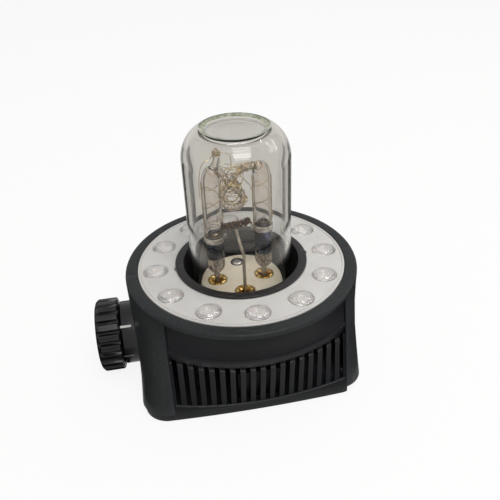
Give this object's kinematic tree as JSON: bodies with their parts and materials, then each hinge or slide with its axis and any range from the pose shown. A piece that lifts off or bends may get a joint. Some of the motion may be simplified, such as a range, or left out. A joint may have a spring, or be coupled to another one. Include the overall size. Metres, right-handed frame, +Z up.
{
  "type": "portable flash strobe head",
  "caption": "Free-standing flash head: plug-in xenon tube under a clear glass dome, ring of clear-lensed modelling lamps, vented housing, fluted side clamp knob and a spigot socket beneath.",
  "frame": {"origin": "on the axis of the tube, dome, lamp ring and spigot socket, in the plane of the resting face, at the middle of the spigot socket's mouth", "axes": "+Z up along the tube and dome, -Y towards the front cover with the bare label field, -X towards the clamp knob"},
  "size_m": [0.1366, 0.118, 0.1288],
  "materials": {
    "housing_plastic": "fine-textured black moulding",
    "cover_plastic": "black moulding, slightly smoother than the shells",
    "knob_plastic": "black, half gloss",
    "white_plastic": "white, half matt",
    "lens_acrylic": "clear, polished",
    "clear_glass": "clear, faintly green at the edges",
    "quartz_glass": "clear, faintly amber from use",
    "ceramic": "unglazed cream",
    "brass": "turned",
    "steel": "plated",
    "electrode_metal": "dark, heat-tinted",
    "copper_wire": "wound copper wire, darkened by heat",
    "nickel_wire": "fine bare wire",
    "aluminium": "cast",
    "circuit_board": "green solder mask",
    "silicone": "soft, matt"
  },
  "bodies": {
    "housing": {"front_shell": "housing_plastic", "rear_shell": "housing_plastic", "front_grille": "cover_plastic", "rear_grille": "cover_plastic", "base_plate": "housing_plastic", "base_screw_1": "steel", "base_screw_2": "steel", "base_screw_3": "steel", "base_screw_4": "steel", "spigot_socket": "cover_plastic", "plug_connector": "housing_plastic", "contact_pin_1": "brass", "contact_pin_2": "brass", "contact_pin_3": "brass", "contact_pin_4": "brass", "knob_boss": "housing_plastic", "reflector_ring": "white_plastic", "led_lens_01": "lens_acrylic", "led_lens_02": "lens_acrylic", "led_lens_03": "lens_acrylic", "led_lens_04": "lens_acrylic", "led_lens_05": "lens_acrylic", "led_lens_06": "lens_acrylic", "led_lens_07": "lens_acrylic", "led_lens_08": "lens_acrylic", "led_lens_09": "lens_acrylic", "led_lens_10": "lens_acrylic", "led_lens_11": "lens_acrylic", "led_lens_12": "lens_acrylic", "led_board": "circuit_board", "heat_sink": "aluminium", "well_collar": "cover_plastic", "tube_base": "ceramic", "tube_base_screw": "steel", "socket_left": "brass", "socket_right": "brass", "socket_front": "brass", "dome_seal": "silicone", "fan_frame": "housing_plastic", "trigger_transformer": "housing_plastic", "trigger_lead": "silicone", "control_board": "circuit_board"},
    "flash_tube": {"flash_tube": "quartz_glass", "electrode_left": "electrode_metal", "electrode_right": "electrode_metal", "clip_left": "steel", "clip_right": "steel", "trigger_rod": "steel", "trigger_coil": "copper_wire", "trigger_wire": "nickel_wire"},
    "glass_dome": {"glass_dome": "clear_glass"},
    "clamp_knob": {"clamp_knob": "knob_plastic", "knob_cap": "knob_plastic", "clamp_spindle": "steel"},
    "clamp_shoe": {"clamp_shoe": "steel"},
    "fan_rotor": {"fan_rotor": "housing_plastic"}
  },
  "joints": [
    {"name": "tube_unplug", "type": "slide", "parent": "housing", "child": "flash_tube", "axis": [0, 0, 1], "range_m": [0, 0.016]},
    {"name": "dome_lift", "type": "slide", "parent": "flash_tube", "child": "glass_dome", "axis": [0, 0, 1], "range_m": [0, 0.095]},
    {"name": "knob_turn", "type": "hinge", "parent": "housing", "child": "clamp_knob", "pos_m": [-0.0715, 0, 0.0198], "axis": [1, 0, 0], "range_deg": [0, 540]},
    {"name": "shoe_slide", "type": "slide", "parent": "housing", "child": "clamp_shoe", "axis": [1, 0, 0], "range_m": [0, 0.00188]},
    {"name": "fan_spin", "type": "hinge", "parent": "housing", "child": "fan_rotor", "pos_m": [0, 0.041, 0.021], "axis": [0, 1, 0], "continuous": true}
  ],
  "couplings": [
    {"joint": "shoe_slide", "follows": "knob_turn", "m_per_rad": 0.00019894}
  ]
}
